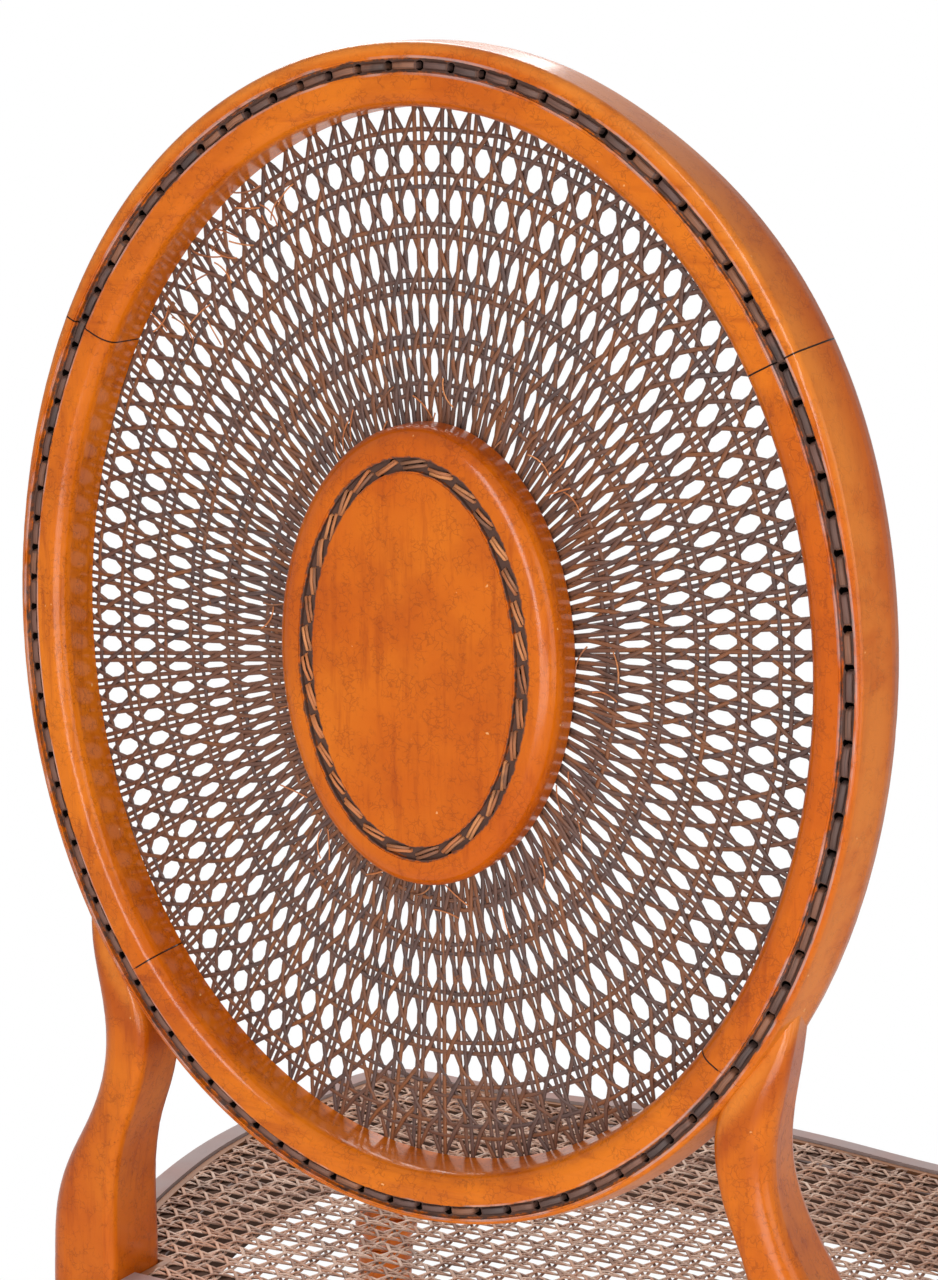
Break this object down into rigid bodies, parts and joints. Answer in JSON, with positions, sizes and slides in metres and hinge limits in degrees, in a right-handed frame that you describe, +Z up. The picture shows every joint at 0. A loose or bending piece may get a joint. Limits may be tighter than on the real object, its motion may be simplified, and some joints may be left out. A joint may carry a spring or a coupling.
{
  "type": "cane chair",
  "caption": "Armless side chair with an oval caned back round a wooden medallion, curved stiles, a caned serpentine seat and slender legs.",
  "frame": {"origin": "on the floor under the middle of the chair's overall width and depth", "axes": "+Z up, -Y towards the front, the way the sitter faces, +Y towards the back, +X to the right of a viewer who stands in front of the chair"},
  "size_m": [0.474, 0.456, 0.9998],
  "materials": {
    "satinwood": "glossy old varnish on orange satinwood",
    "dowel_beech": "bare beech",
    "back_cane": "aged dark brown cane, slightly glossy",
    "seat_cane": "aged pale tan cane",
    "cane_spline": "dark reed"
  },
  "bodies": {
    "root": {"crest_rail": "satinwood", "left_rear_post": "satinwood", "right_rear_post": "satinwood", "lower_back_rail": "satinwood", "back_medallion": "satinwood", "front_seat_rail": "satinwood", "left_seat_rail": "satinwood", "right_seat_rail": "satinwood", "rear_seat_rail": "satinwood", "left_front_leg": "satinwood", "right_front_leg": "satinwood", "back_joint_dowels": "dowel_beech", "rear_rail_dowels": "dowel_beech", "side_rail_dowels": "dowel_beech", "front_rail_dowels": "dowel_beech", "back_cane": "back_cane", "frame_cane_ties": "back_cane", "medallion_cane_ties": "back_cane", "frame_cane_binder": "back_cane", "medallion_cane_binder": "back_cane", "seat_cane": "seat_cane", "seat_spline": "cane_spline"}
  },
  "joints": []
}
